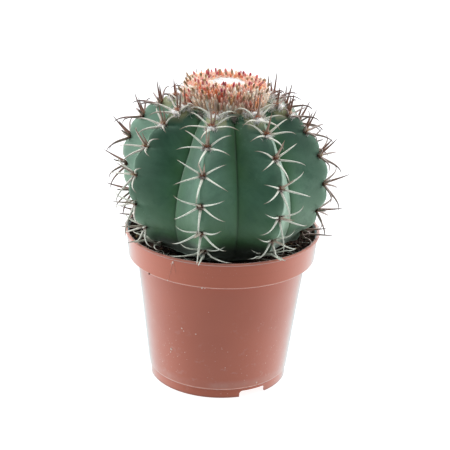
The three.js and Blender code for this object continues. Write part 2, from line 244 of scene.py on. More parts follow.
# White wool: the mound's outline as shares of its radius and heights, and its threads
WOOL_OUTLINE = [(1.0, 188.6), (0.8, 189.8), (0.4, 190.5), (0.0, 190.7)]
WOOL_ROUNDING = 1.5
WOOL_LUMPY_FROM = 188.4
WOOL_THREADS = 1500
WOOL_THREAD_HEIGHT = 190.3

# Wool round the crown: azimuth from the rib, radius, height, width, share of white, count of hairs
CROWN_WOOL = [
    (RIB_STEP / 2, 25.6, 174.6, 5.0, 0.0, 300),
    (9, 28.6, 177.4, 3.0, 0.8, 110),
    (-9, 28.6, 177.4, 3.0, 0.8, 110),
]

# Studio, in metres
STUDIO_RADIUS = 4.0
STUDIO_SIDES = 64

# Light tent: elevation in degrees, and the brightness every 45 degrees of azimuth from the front
TENT_RINGS = [
    (-60.0, [1.5] * 8),
    (-23.0, [0.10, 0.22, 1.5, 1.6, 1.0, 1.5, 1.5, 0.45]),
    (11.0, [0.02, 0.14, 2.5, 3.0, 2.5, 3.0, 2.8, 0.2]),
    (46.0, [0.0, 0.0, 1.8, 2.9, 2.6, 3.0, 2.3, 0.2]),
    (80.0, [1.7] * 8),
]
TENT_BRIGHTEST = 3.0


def srgb(*levels):
    """A linear colour from the 0 to 255 numbers of a colour picker."""
    share = np.array(levels) / 255
    return np.where(share <= 0.04045, share / 12.92, ((share + 0.055) / 1.055) ** 2.4)


# Colours
SOIL_DARK = srgb(58, 42, 37)
SOIL_LIGHT = srgb(120, 92, 72)
SOIL_GRIT = srgb(178, 150, 112)
SKIN_DEEP = srgb(38, 82, 64)
SKIN_MID = srgb(56, 100, 77)
SKIN_BLOOM = srgb(86, 135, 110)
SKIN_CREST = srgb(134, 170, 150)
SKIN_OLD = srgb(76, 124, 64)
SKIN_YOUNG_SHADED = srgb(20, 58, 48)
SKIN_OLIVE = srgb(158, 158, 118)
SKIN_GROOVE = srgb(40, 66, 46)
# Painted shade at the foot of the stem, just above the soil
SKIN_FOOT_SHADE = srgb(30, 28, 26)
BONE = srgb(240, 248, 236)
TIP_BROWN = srgb(138, 116, 92)
DARKENED_HORN = srgb(150, 127, 120)
DARKENED_TIP = srgb(86, 63, 69)
ROOT_BROWN = srgb(92, 44, 30)
CENTRAL_BROWN = srgb(146, 96, 74)
GREY_HORN = srgb(196, 184, 168)
FELT_WHITE = srgb(254, 253, 250)
FELT_GREY = srgb(165, 152, 138)
FELT_BROWN = srgb(88, 52, 38)
FELT_RUST = srgb(178, 102, 66)
CAP_BROWN = srgb(234, 176, 148)
CRIMSON = srgb(168, 42, 68)
MAROON = srgb(150, 62, 82)
PINK = srgb(198, 124, 124)
OLIVE_BROWN = srgb(146, 126, 96)
STALK_PEACH = srgb(230, 196, 174)
STALK_OLIVE = srgb(214, 190, 144)
WOOL_WHITE = srgb(254, 252, 250)
GRIT_PALE = srgb(226, 204, 194)
GRIT_DARK = srgb(84, 48, 38)
WATER_RUN = srgb(212, 150, 132)

# Grit on the outside of the pot: azimuth, height and size. One grain of it is dark.
POT_GRIT = [
    (-28.5, 93.9, 0.95),
    (-29.6, 92.6, 0.4),
    (-47.5, 80.4, 0.8),
    (-32.6, 80.8, 0.55),
    (-10.5, 80.2, 0.6),
    (-8.8, 80.3, 0.4),
    (-38.0, 29.4, 0.85),
    (-38.9, 27.2, 0.5),
    (-27.5, 46.9, 0.6),
    (-25.9, 45.3, 0.45),
    (-16.5, 44.8, 0.5),
    (34.0, 8.4, 0.7),
    (140.0, 61.0, 0.7),
    (-155.0, 24.0, 0.6),
]
DARK_GRAIN = 2
POT_SPECKS = 70

# Water runs on the pot's band: azimuth above, azimuth below and lowest height
RUN_TOP = 93.3
RUN_RADIUS = 0.16
POT_RUNS = [(-28.4, -32.0, 81.0), (-28.1, -26.6, 87.0), (-29.0, -30.2, 85.5)]

# Tuft colours, with their shares in the upper and in the lower rows
TUFT_HUES = [
    (srgb(240, 182, 128), 0.19, 0.14),
    (srgb(234, 148, 98), 0.15, 0.09),
    (srgb(216, 108, 82), 0.05, 0.03),
    (srgb(230, 172, 152), 0.19, 0.19),
    (srgb(242, 212, 188), 0.17, 0.23),
    (srgb(250, 238, 222), 0.07, 0.22),
    (srgb(190, 146, 120), 0.18, 0.10),
]


def make_random(seed):
    """The solid's own rule for repeatable random numbers from 0 to 1."""
    state = [seed]

    def draw():
        state[0] = (state[0] * 1664525 + 1013904223) & 0xFFFFFFFF
        return state[0] / 4294967296

    return draw


def polar(radius, azimuth, height=0.0):
    """A point from its distance from the axis, its azimuth in degrees (0 is -Y) and its height."""
    angle = np.radians(azimuth)
    return np.stack(np.broadcast_arrays(radius * np.sin(angle), -radius * np.cos(angle), height), -1)


def turns(count):
    """Azimuths at equal steps all round."""
    return np.arange(count) * 360 / count


def circle(radius, sides):
    angles = np.linspace(0, 2 * math.pi, sides, endpoint=False)
    return [(radius * math.cos(a), radius * math.sin(a)) for a in angles]


def mixed(first, second, share):
    """The blend of two values: all first at share 0, all second at share 1."""
    return first * (1 - share) + second * share


def ramp(value, start, end):
    """From 0 at start to 1 at end, and level on both sides."""
    return np.clip((value - start) / (end - start), 0, 1)


def lengths(vectors):
    return np.linalg.norm(vectors, axis=-1, keepdims=True)


UP = np.array([0, 0, 1.0])


# Meshes


def link_object(name, data):
    obj = bpy.data.objects.new(name, data)
    bpy.context.scene.collection.objects.link(obj)
    return obj


def build_object(name, points, face_sets, material, tint=None, smooth=True):
    """An object from points in millimetres and arrays of faces with equal corner counts."""
    mesh = bpy.data.meshes.new(name)
    points = np.asarray(points, float).reshape(-1, 3) * MM
    corners = np.concatenate([faces.ravel() for faces in face_sets])
    sizes = np.concatenate([np.full(len(faces), faces.shape[1]) for faces in face_sets])
    starts = np.concatenate([[0], np.cumsum(sizes)[:-1]])
    mesh.vertices.add(len(points))
    mesh.vertices.foreach_set("co", points.ravel())
    mesh.loops.add(len(corners))
    mesh.loops.foreach_set("vertex_index", corners.astype(np.int32))
    mesh.polygons.add(len(sizes))
    mesh.polygons.foreach_set("loop_start", starts.astype(np.int32))
    mesh.polygons.foreach_set("use_smooth", np.full(len(sizes), smooth))
    mesh.update(calc_edges=True)
    mesh.validate()
    if tint is not None:
        store_tint(mesh, tint)
    obj = link_object(name, mesh)
    mesh.materials.append(material)
    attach(obj, BODY)
    return obj


def store_tint(mesh, tint):
    layer = mesh.color_attributes.new(name="tint", type="FLOAT_COLOR", domain="POINT")
    rgba = np.ones((len(mesh.vertices), 4), np.float32)
    rgba[:, :3] = tint
    layer.data.foreach_set("color", rgba.ravel())


def grid_faces(rows, columns):
    """Quads over a grid that closes on itself along its columns."""
    row, column = np.meshgrid(np.arange(rows - 1), np.arange(columns), indexing="ij")
    here = row * columns + column
    beside = row * columns + (column + 1) % columns
    return np.stack([here, beside, beside + columns, here + columns], -1).reshape(-1, 4)


def closed_mesh(rings, first_height, last_height):
    """Points and faces of a skin over rings, closed on the axis below the first and above the last."""
    rows, columns, _ = rings.shape
    column = np.arange(columns)
    after = (column + 1) % columns
    last = (rows - 1) * columns
    points = np.concatenate([rings.reshape(-1, 3), [[0, 0, first_height], [0, 0, last_height]]])
    start = np.stack([np.full(columns, rows * columns), after, column], -1)
    end = np.stack([np.full(columns, rows * columns + 1), last + column, last + after], -1)
    return points, [grid_faces(rows, columns), start, end]


def lathe_mesh(profile, segments):
    """Points and faces of a body of revolution whose profile starts and ends on the axis."""
    inner = np.array(profile[1:-1])
    rings = polar(inner[:, :1], turns(segments), inner[:, 1:])
    return closed_mesh(rings, profile[0][1], profile[-1][1])


def rounded(profile, corner):
    """A profile of (radius, height) whose inner corners are replaced by short arcs."""
    profile = np.array(profile, float)
    result = [profile[0]]
    for before, here, after in zip(profile, profile[1:], profile[2:]):
        to_before = before - here
        to_after = after - here
        reach = min(corner, 0.45 * lengths(to_before)[0], 0.45 * lengths(to_after)[0])
        start = here + to_before / lengths(to_before) * reach
        end = here + to_after / lengths(to_after) * reach
        for share in (0, 0.25, 0.5, 0.75, 1):
            result.append((1 - share) ** 2 * start + 2 * share * (1 - share) * here + share ** 2 * end)
    return [*result, profile[-1]]


def crumb_shape():
    """Points and triangles of a small icosahedron."""
    golden = (1 + 5 ** 0.5) / 2
    points = []
    for a in (-1, 1):
        for b in (-golden, golden):
            points += [(0, a, b), (a, b, 0), (b, 0, a)]
    points = np.array(points, float)
    points /= np.linalg.norm(points[0])
    side = min(np.linalg.norm(points[0] - p) for p in points[1:])
    faces = []
    for i, j, k in itertools.combinations(range(len(points)), 3):
        trio = points[[i, j, k]]
        if lengths(trio - trio[[1, 2, 0]]).max() < side * 1.01:
            faces.append((i, j, k) if np.linalg.det(trio) > 0 else (i, k, j))
    return points, np.array(faces)


CRUMB_POINTS, CRUMB_FACES = crumb_shape()


def lump_object(name, lumps, tones, material, smooth=False):
    """One object from many lumps, each a moved and stretched copy of the crumb's points."""
    corners = len(CRUMB_POINTS)
    faces = CRUMB_FACES + np.arange(len(lumps))[:, None, None] * corners
    tint = np.repeat(tones, corners, axis=0)
    return build_object(name, lumps, [faces.reshape(-1, 3)], material, tint, smooth)


def strand_mesh(lines, radii, sides, colours):
    """Closed tapered strands. lines is (strands, points, 3), radii and colours follow it."""
    count, points = radii.shape
    along = np.gradient(lines, axis=1)
    along /= lengths(along) + 1e-9
    helper = np.where(np.abs(along[:, :1, 2:3]) > 0.9, [[[1.0, 0, 0]]], [[[0, 0, 1.0]]])
    first = np.cross(along, np.broadcast_to(helper, along.shape))
    first /= lengths(first) + 1e-9
    second = np.cross(along, first)
    angle = np.arange(sides)[:, None] * 2 * math.pi / sides
    ring = first[:, :-1, None] * np.cos(angle) + second[:, :-1, None] * np.sin(angle)
    skin = lines[:, :-1, None] + ring * radii[:, :-1, None, None]
    rings = points - 1
    vertices = np.concatenate([skin.reshape(count, rings * sides, 3), lines[:, -1:]], 1)
    offset = np.arange(count)[:, None, None] * (rings * sides + 1)
    last = (rings - 1) * sides
    corner = np.arange(sides)
    tip = np.stack([last + corner, last + (corner + 1) % sides, np.full(sides, rings * sides)], -1)
    quads = (grid_faces(rings, sides) + offset).reshape(-1, 4)
    tips = (tip + offset).reshape(-1, 3)
    roots = corner[::-1] + offset[:, 0]
    tints = np.concatenate([np.repeat(colours[:, :-1], sides, axis=1), colours[:, -1:]], 1)
    return vertices, [quads, tips, roots], tints.reshape(-1, 3)


def strand_object(name, strands, sides, material):
    """One object from a list of (lines, radii, colours) arrays of strands."""
    lines, radii, colours = (np.concatenate(parts) for parts in zip(*strands))
    points, faces, tints = strand_mesh(lines, radii, sides, colours)
    return build_object(name, points, faces, material, tints)


def curved_strands(roots, tips, sag, radius, root_colour, tip_colour, points, taper):
    """Strands from roots to tips that bow by the vectors sag, as (lines, radii, colours)."""
    share = np.linspace(0, 1, points)[None, :, None]
    lines = mixed(roots[:, None], tips[:, None], share) + sag[:, None] * 4 * share * (1 - share)
    radii = np.broadcast_to(radius, len(roots))[:, None] * (1 - share[:, :, 0] * taper)
    return lines, radii, mixed(root_colour[:, None], tip_colour[:, None], share)


# Materials


class Nodes:
    """A short way to write the node tree of a material or of the world."""

    def __init__(self, name, owner=None, coordinate="Object"):
        self.owner = owner or bpy.data.materials.new(name)
        self.owner.use_nodes = True
        self.tree = self.owner.node_tree
        self.place = self.add("ShaderNodeTexCoord", {}).outputs[coordinate]
        self.colour = None

    def put(self, socket, value):
        """Gives a socket a link to another node, a colour or a number."""
        if isinstance(value, bpy.types.NodeSocket):
            self.tree.links.new(value, socket)
        elif np.ndim(value):
            socket.default_value = (*(float(level) for level in value), 1.0)
        else:
            socket.default_value = value

    def add(self, kind, inputs, **settings):
        node = self.tree.nodes.new(kind)
        for key, value in settings.items():
            setattr(node, key, value)
        for key, value in inputs.items():
            self.put(node.inputs[key], value)
        return node

    def noise(self, scale, detail=3.0, roughness=0.55, distortion=0.0):
        inputs = {"Vector": self.place, "Scale": scale, "Detail": detail, "Roughness": roughness,
                  "Distortion": distortion}
        return self.add("ShaderNodeTexNoise", inputs).outputs["Fac"]

    def cells(self, scale):
        inputs = {"Vector": self.place, "Scale": scale}
        return self.add("ShaderNodeTexVoronoi", inputs).outputs["Distance"]

    def axis(self, letter):
        return self.add("ShaderNodeSeparateXYZ", {0: self.place}).outputs[letter]

    def tint(self):
        return self.add("ShaderNodeVertexColor", {}, layer_name="tint").outputs["Color"]

    def spread(self, value, low, high, to_low=0.0, to_high=1.0):
        inputs = {"Value": value, "From Min": low, "From Max": high, "To Min": to_low, "To Max": to_high}
        return self.add("ShaderNodeMapRange", inputs, interpolation_type="SMOOTHSTEP").outputs["Result"]

    def calc(self, operation, first, second):
        return self.add("ShaderNodeMath", {0: first, 1: second}, operation=operation).outputs[0]

    def times(self, first, *others):
        for other in others:
            first = self.calc("MULTIPLY", first, other)
        return first

    def mix(self, share, first, second, blend="MIX"):
        inputs = {0: share, 6: first, 7: second}
        return self.add("ShaderNodeMix", inputs, data_type="RGBA", blend_type=blend).outputs[2]

    def paint(self, colour, *shares):
        """Lays a colour over those before it, as strongly as the product of the shares."""
        self.colour = self.mix(self.times(*shares), self.colour, colour)

    def bump(self, height, distance, strength, **under):
        inputs = {"Height": height, "Distance": distance, "Strength": strength, **under}
        return self.add("ShaderNodeBump", inputs).outputs["Normal"]

    def finish(self, colour, roughness, normal=None, **fixed):
        """Feeds the surface shader, sets its other inputs to fixed values, and returns the material."""
        shader = self.tree.nodes["Principled BSDF"]
        self.put(shader.inputs["Base Color"], colour)
        self.put(shader.inputs["Roughness"], roughness)
        if normal:
            self.put(shader.inputs["Normal"], normal)
        for key, value in fixed.items():
            shader.inputs[key.replace("_", " ")].default_value = value
        return self.owner


def pot_material():
    """Brown plastic with a soft sheen, painted highlights on its edges and lip, painted shade under the
    band and at the bottom, faint water marks and a little dust.
    """
    n = Nodes("pot_plastic")
    height = n.axis("Z")

    def rise(level, start, full):
        """From 0 to 1 between two heights, in millimetres over a level of the pot."""
        return n.spread(height, (level + start) * MM, (level + full) * MM)

    def belt(level, start, full, fading, end):
        return n.calc("MINIMUM", rise(level, start, full), rise(level, end, fading))

    n.colour = n.mix(n.spread(n.noise(14.0, 2.0), 0.3, 0.7), srgb(179, 94, 70), srgb(190, 103, 78))
    n.paint(srgb(195, 107, 82), rise(BAND_BOTTOM, -0.5, 1.5))
    low = rise(0, 75, 12)
    film = n.times(n.spread(n.noise(150.0, 5.0, 0.7), 0.56, 0.68), low, 0.2)
    limy = n.spread(n.noise(55.0, 5.0), 0.4, 0.65, 0.03, 0.26)
    lime = n.times(belt(FOOT_HEIGHT, 0.1, 1.3, 2.5, 7), limy)
    n.paint(srgb(200, 176, 170), n.calc("MAXIMUM", film, lime))
    # Painted highlights: pale lines along the band's lower edge and the foot's top edge.
    band_edge_highlight = belt(BAND_BOTTOM, -0.6, 0.1, 0.6, 1.3)
    edge_highlights = n.calc("MAXIMUM", band_edge_highlight, belt(FOOT_HEIGHT, -0.9, -0.3, 0.2, 0.9))
    n.paint(srgb(232, 176, 158), edge_highlights, n.spread(n.noise(120.0), 0.3, 0.7, 0.2, 0.5))
    # Painted shade: darker just below the band's step and along the pot's bottom edge.
    under = n.calc("MAXIMUM", belt(BAND_BOTTOM, -2.5, -1.2, -0.8, -0.4), rise(0, 1.8, 0.4))
    n.paint(srgb(110, 62, 50), under, 0.4)
    squared = n.calc("ADD", n.calc("POWER", n.axis("X"), 2), n.calc("POWER", n.axis("Y"), 2))
    outer, inner = (((LIP_RADIUS - inset) * MM) ** 2 for inset in (1.7, 2.2))
    n.paint(srgb(92, 62, 54), n.spread(squared, outer, inner), rise(SOIL_TOP, -1.5, 0.5), 0.75)
    # Painted reflection: the top of the lip turns greyer and paler.
    lip_reflection = n.spread(n.noise(40.0), 0.3, 0.7, 0.2, 0.5)
    n.paint(srgb(152, 108, 98), rise(POT_HEIGHT, -2.5, -1.5), lip_reflection)
    patches = n.spread(n.noise(45.0, 2.0), 0.54, 0.68)
    often = n.calc("ADD", n.times(low, 0.45), 0.1)
    n.paint(srgb(236, 222, 212), n.spread(n.cells(420.0), 0.16, 0.08), patches, often)
    roughness = n.spread(n.noise(60.0, 4.0), 0.3, 0.75, 0.32, 0.44)
    grain = n.bump(n.noise(900.0), 0.00012, 0.25)
    normal = n.bump(n.noise(25.0, 2.0), 0.0006, 0.12, Normal=grain)
    return n.finish(n.colour, roughness, normal, Specular_IOR_Level=0.5, Sheen_Weight=1.0,
                    Sheen_Roughness=0.34, Sheen_Tint=(0.6, 0.94, 1.0, 1.0))


def soil_material():
    n = Nodes("soil_peat")
    n.colour = n.mix(n.spread(n.noise(500.0, 6.0, 0.7), 0.35, 0.75), SOIL_DARK, srgb(66, 50, 42))
    n.paint(srgb(150, 126, 98), n.spread(n.cells(600.0), 0.12, 0.05))
    normal = n.bump(n.noise(1100.0, 5.0, 0.7), 0.0009, 0.8)
    return n.finish(n.colour, 0.92, normal, Specular_IOR_Level=0.2)


def crumb_material():
    n = Nodes("soil_crumbs")
    colour = n.mix(n.spread(n.noise(1500.0), 0.35, 0.7), n.tint(), (0.006, 0.004, 0.003))
    normal = n.bump(n.noise(2500.0), 0.0004, 0.7)
    return n.finish(colour, 0.9, normal, Specular_IOR_Level=0.2)


def skin_material():
    """Blue-green skin with a waxy bloom: yellower low down, deeper near the crown, partly as painted shade,
    olive at the cap, with a painted sheen at the sides and painted shade at the foot.
    """
    n = Nodes("cactus_skin")
    crest, groove, young = n.add("ShaderNodeSeparateColor", {0: n.tint()}).outputs[:3]
    height = n.axis("Z")
    n.colour = n.mix(n.spread(n.noise(45.0, 5.0, 0.6), 0.32, 0.7), SKIN_DEEP, SKIN_MID)
    # Deeper blue-green towards the crown: partly the colour of young skin, partly painted shade on the
    # upper flanks.
    n.paint(SKIN_YOUNG_SHADED, young, 0.85)
    old = n.calc("MAXIMUM", n.spread(height, 0.145, 0.09), n.times(groove, 0.9))
    n.paint(SKIN_OLD, old, 0.7, n.spread(n.noise(28.0), 0.25, 0.6, 0.5, 1.0))
    n.paint(SKIN_BLOOM, n.spread(n.noise(26.0, 5.0, 0.65, 0.6), 0.44, 0.66), 0.42)
    # Paler on the stem's left and right sides: partly waxy bloom, partly a painted sheen. The same mask
    # spares the sides from the painted shade at the foot.
    sides = n.spread(n.calc("ABSOLUTE", n.axis("X"), 0.0), 0.03, 0.056)
    n.paint(SKIN_CREST, sides, n.spread(n.noise(20.0, 4.0), 0.3, 0.7, 0.25, 0.5))
    n.paint(SKIN_DEEP, n.spread(n.noise(75.0, 4.0, 0.7), 0.52, 0.7), 0.42)
    n.paint(SKIN_CREST, crest, n.spread(n.noise(120.0), 0.25, 0.6, 0.15, 0.4))
    ragged = n.calc("ADD", groove, n.spread(n.noise(60.0, 4.0, 0.65), 0.3, 0.7, -0.1, 0.12))
    n.paint(SKIN_OLIVE, n.spread(young, 0.58, 0.8), n.spread(ragged, 0.2, 0.04))
    n.paint(SKIN_GROOVE, n.spread(groove, 0.8, 1.0), 0.6)
    spots = n.spread(n.cells(380.0), 0.14, 0.06)
    n.paint(SKIN_CREST, spots, n.spread(n.noise(30.0, 2.0), 0.52, 0.7), 0.6)
    # Painted shade: the stem darkens just above the soil, less so at its left and right sides.
    n.paint(SKIN_FOOT_SHADE, n.spread(height, 0.107, 0.098), n.calc("SUBTRACT", 0.9, sides))
    roughness = n.spread(n.noise(80.0), 0.3, 0.7, 0.4, 0.55)
    pores = n.bump(n.noise(1400.0, 2.0), 0.00012, 0.35)
    normal = n.bump(n.noise(160.0), 0.0005, 0.25, Normal=pores)
    return n.finish(n.colour, roughness, normal, Specular_IOR_Level=0.8,
                    Specular_Tint=(0.72, 1.0, 0.82, 1.0), Sheen_Weight=1.0, Sheen_Roughness=0.38,
                    Sheen_Tint=(0.8, 1.0, 0.88, 1.0))


def tinted_material(name, roughness, grain_scale, grain_depth, sheen=0.0, glow=0.0):
    """A surface whose colour is stored in its points, with a fine grain of its own."""
    n = Nodes(name)
    shade = n.spread(n.noise(grain_scale * 0.6), 0.25, 0.75, 0.8, 1.12)
    colour = n.mix(1.0, n.tint(), shade, "MULTIPLY")
    normal = n.bump(n.noise(grain_scale), grain_depth, 0.6)
    return n.finish(colour, roughness, normal, Sheen_Weight=sheen, Subsurface_Weight=glow,
                    Subsurface_Radius=(1.0, 0.8, 0.7), Subsurface_Scale=0.002)


# Stem


def rib_azimuth(rib, share=0.0):
    """Azimuth at a share of the way from a rib's crest to the groove beside it."""
    return FIRST_RIB_AZIMUTH + RIB_STEP * rib + share * RIB_STEP / 2


def areole_latitude(n):
    return AREOLE_OFFSET + AREOLE_LATITUDE * np.sin(AREOLE_STEP * n)


def young_share(n):
    """0 on the oldest areoles near the soil, 1 on the youngest near the crown."""
    return ramp(n, -0.5, 3.5)


def crest_point(latitude):
    """Radius, height and normal tilt of the crest's ellipse at a latitude in degrees."""
    angle = np.radians(latitude)
    radius = CREST_RADIUS * np.cos(angle)
    height = STEM_CENTRE + CREST_HALF_HEIGHT * np.sin(angle)
    tilt = np.arctan2(CREST_RADIUS * np.sin(angle), CREST_HALF_HEIGHT * np.cos(angle))
    return radius, height, tilt


def flank_radius(radius, depth, across):
    """Radius of the skin on a flat flank, from the rounded crest (across 0) to the sharp groove (1)."""
    whole = math.hypot(1, CREST_ROUNDING) - CREST_ROUNDING
    half_step = math.radians(RIB_STEP / 2)
    turn = half_step * (np.hypot(across, CREST_ROUNDING) - CREST_ROUNDING) / whole
    inner = radius * (1 - depth * (1 - GROOVE_CREASE))
    flat = radius * inner * math.sin(half_step) / (radius * np.sin(turn) + inner * np.sin(half_step - turn))
    return flat - radius * depth * GROOVE_CREASE * across ** 8


def fullness(rib, n):
    """How much further out than the ellipse the crest of a rib stands at areole number n."""
    extra = 0.0
    for full, amount, start, end in FULL_RIBS:
        swell = amount * np.sin(math.pi * ramp(n, start, end))
        extra = extra + np.where(rib == full, swell, 0.0)
    return extra


def groove_depth(latitude, radius):
    depth = np.minimum(GROOVE_DEPTH + GROOVE_DEPTH_PER_DEGREE * latitude, GROOVE_DEPTH_LIMIT)
    return np.clip(np.minimum(depth, 1 - GROOVE_LEAST_RADIUS / np.maximum(radius, 1)), 0, 1)


def stem_points(n, share, rib):
    """Points of the ribbed skin, from areole number n, share across the rib and the rib's number."""
    latitude = areole_latitude(n)
    radius, height, tilt = crest_point(latitude)
    across = np.abs(share)
    step = n - np.where(rib % 2 == 0, 0.5, 0.0)
    live = np.clip((n - FIRST_RING) * 2, 0, 1) * np.clip((LAST_RING - n) * 2, 0, 1)
    wave = np.hypot(np.sin(math.pi * step), CREST_BULGE_SOFTNESS) - CREST_BULGE_SOFTNESS
    swell = CREST_BULGE * wave * live * (1 - across) ** 4
    nearest = step - np.round(step)
    pit = PIT_DEPTH * np.exp(-((nearest / PIT_LENGTH) ** 2)) * np.exp(-((across / PIT_WIDTH) ** 2)) * live
    rise = swell - pit
    fuller = fullness(rib, n) * np.cos(share * math.pi / 2) ** 2
    surface = flank_radius(radius, groove_depth(latitude, radius), across) + fuller + rise * np.cos(tilt)
    return polar(surface, rib_azimuth(rib, share), height + rise * np.sin(tilt))


def build_stem(material):
    """The ribbed skin, whose points store how near they are to a crest, a groove and the crown."""
    column = np.arange(RIBS * COLUMNS_PER_RIB)
    rib = column // COLUMNS_PER_RIB
    local = (column % COLUMNS_PER_RIB) / COLUMNS_PER_RIB * 2 - 1
    share = np.sign(local) * (1 - np.cos(math.pi * local)) / 2
    numbers = np.linspace(FIRST_RING, LAST_RING, STEM_ROWS)[:, None]
    grid = stem_points(numbers, share, rib)
    lowest = areole_latitude(FIRST_RING)
    buried = []
    for latitude in np.linspace(-89, lowest - 2, BURIED_ROWS):
        radius, height, _ = crest_point(latitude)
        ring = grid[0] * radius / crest_point(lowest)[0]
        ring[:, 2] = height
        buried.append(ring)
    crown = [polar(radius, rib_azimuth(rib, share), height) for radius, height in CROWN_RINGS]
    rings = np.concatenate([buried, grid, crown])
    points, faces = closed_mesh(rings, STEM_CENTRE - CREST_HALF_HEIGHT, CROWN_HEIGHT)
    tint = np.zeros(rings.shape)
    skin = tint[BURIED_ROWS:-len(crown)]
    skin[..., 0] = np.exp(-((share / CREST_COLOUR_WIDTH) ** 2))
    skin[..., 1] = ramp(np.abs(share), GROOVE_COLOUR_FROM, 1) ** 2
    skin[..., 2] = ramp(numbers, YOUNG_COLOUR_FROM, LAST_RING)
    tint[-len(crown):, :, 2] = 1
    tint = np.concatenate([tint.reshape(-1, 3), [[0, 0, 0], [0, 0, 1]]])
    obj = build_object("stem_skin", points, faces, material, tint)
    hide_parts("cactus_stem")


# Spines and felt


def bend_clear(points):
    """Spine points stay over the soil and the lip, by the solid's own rule."""
    radius = np.hypot(points[..., 0], points[..., 1])
    lowest = np.interp(radius, CLEAR_RADII, CLEAR_HEIGHTS)
    moved = np.minimum(radius + np.maximum(lowest - points[..., 2], 0) * SPINE_SLIDE, SPINE_FURTHEST)
    bent = points * (moved / np.maximum(radius, 1))[..., None]
    bent[..., 2] = np.interp(moved, CLEAR_RADII, CLEAR_HEIGHTS)
    return np.where((points[..., 2] < lowest)[..., None], bent, points)


def areole_frame(rib, n):
    """Place, outward normal, upward and sideways directions of an areole."""
    azimuth = rib_azimuth(rib)
    radius, height, tilt = crest_point(areole_latitude(n))
    tilt = max(tilt, math.radians(LOWEST_STAR_TILT))
    outward = polar(1.0, azimuth)
    normal = outward * math.cos(tilt) + UP * math.sin(tilt)
    up = -outward * math.sin(tilt) + UP * math.cos(tilt)
    return polar(radius + fullness(rib, n), azimuth, height), normal, up, polar(1.0, azimuth + 90)


def areoles():
    """Every areole as (rib, n, star of spines), in the solid's order."""
    found = []
    for rib in range(RIBS):
        for n in np.arange(LOWEST_AREOLE[rib % 2], HIGHEST_AREOLE + 0.1):
            found.append((rib, n, [spine for spine in SPINE_STAR if n >= spine[-1]]))
    for rib in range(RIBS):
        found.append((rib, CROWN_AREOLE[rib % 2], CROWN_STAR))
    return found


def spine_colours(share, dark, central, darkening):
    """Dark root, bone middle and brown outer part, browner on young areoles and on the centrals."""
    root = np.exp(-((share / 0.05) ** 2))[:, None]
    brown_from = 0.88 - 0.45 * dark - 0.3 * darkening
    outer = ramp(share, brown_from, 1)[:, None] ** 0.8
    middle = mixed(mixed(BONE, GREY_HORN, 0.4 * dark), DARKENED_HORN, darkening)
    if central:
        middle = mixed(middle, CENTRAL_BROWN, 0.45 + 0.5 * dark)
    tip = mixed(TIP_BROWN, DARKENED_TIP, darkening)
    return mixed(mixed(middle, tip, outer), ROOT_BROWN, root)


def build_spines(material):
    random = make_random(11)
    looks = make_random(71)
    strands = []
    share = np.linspace(0, 1, SPINE_SEGMENTS + 1)
    hook = 1 + SPINE_HOOK * (share - 0.5)
    for rib, n, star in areoles():
        place, normal, up, side = areole_frame(rib, n)
        darkening = SPINE_DARKENING[rib]
        for clock, reach, out, arch, spread, _ in star:
            size = 1 + SPINE_JITTER * (2 * random() - 1)
            turned = math.radians(clock + SPINE_CLOCK_JITTER * (2 * random() - 1))
            along = up * math.cos(turned) + side * math.sin(turned)
            start = place + along * spread
            aim = along * reach * size + normal * (out * size + 4 * arch)
            root = start - aim / np.linalg.norm(aim) * SPINE_SINK
            rise = out * size * share + 4 * arch * share * (1 - share) * hook
            curve = start + along * (reach * size * share)[:, None] + normal * rise[:, None]
            central = abs(clock) < CENTRAL_CLOCK
            strong = central or clock == 180
            width = 0.86 + 0.2 * looks() + 0.14 * strong + DARKENED_WIDTH * darkening
            thick = SPINE_ROOT_RADIUS * width * (1 - share) ** SPINE_TAPER
            shade = spine_colours(share, 0.6 * young_share(n) + 0.3 * looks(), central, darkening)
            line = np.concatenate([[root], bend_clear(curve)])
            colours = np.concatenate([[ROOT_BROWN], shade])
            strands.append((line[None], np.concatenate([thick[:1], thick])[None], colours[None]))
    obj = strand_object("spines", strands, SPINE_SIDES, material)
    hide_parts("cactus_stem")


def cushions(n):
    """The rusty and the white cushion of an areole: hairs, offset, width, height, lift and colour."""
    top = young_share(n)
    tuft = top ** 2
    rust = mixed(FELT_BROWN, FELT_RUST, 0.65 * top)
    white = mixed(FELT_GREY, FELT_WHITE, 0.65 + 0.35 * top)
    return [
        (90, 0.1 + 0.7 * top, 1.0 + 0.5 * top, 0.85 + 0.35 * top, 1.4 + 2.2 * top, rust),
        (int(40 + 160 * top), -1.0 - 0.9 * tuft, 0.8 + 1.6 * tuft, 0.4 + tuft, 1.1 + 2.1 * tuft, white),
    ]


def build_felt(material):
    """The woolly cushions of each areole: rusty hairs over its spines and white wool below them."""
    rng = np.random.default_rng(5)
    strands, pads, tones = [], [], []
    for rib, n, _ in areoles():
        place, normal, up, side = areole_frame(rib, n)
        for count, offset, wide, tall, lift, tone in cushions(n):
            pad = place + up * offset + normal * (lift * 0.5 - 0.7)
            axes = np.array([side * wide * 1.4, up * tall * 1.4, normal * lift * 0.6])
            pads.append(pad + CRUMB_POINTS @ axes)
            tones.append(tone)
            across, upward = (rng.normal(0, 0.8, (count, 2)) * np.array([wide, tall])).T[..., None]
            root = place + side * across + up * (upward + offset) - normal * 0.5
            height = lift * rng.uniform(0.6, 1.3, (count, 1))
            tips = root + normal * height + side * across * 0.4 + rng.normal(0, 0.4, (count, 3))
            sag = rng.normal(0, 0.25, (count, 3))
            shade = np.minimum(tone * rng.uniform(0.85, 1.05, (count, 1)), 1.0)
            strands.append(curved_strands(root, tips, sag, 0.17, shade * 0.9, shade, 4, 0.7))
    hairs = strand_object("areole_felt", strands, HAIR_SIDES, material)
    cushion = lump_object("areole_pads", pads, tones, material, smooth=True)
    for obj in (hairs, cushion):
        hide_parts("cactus_stem")


# Pot


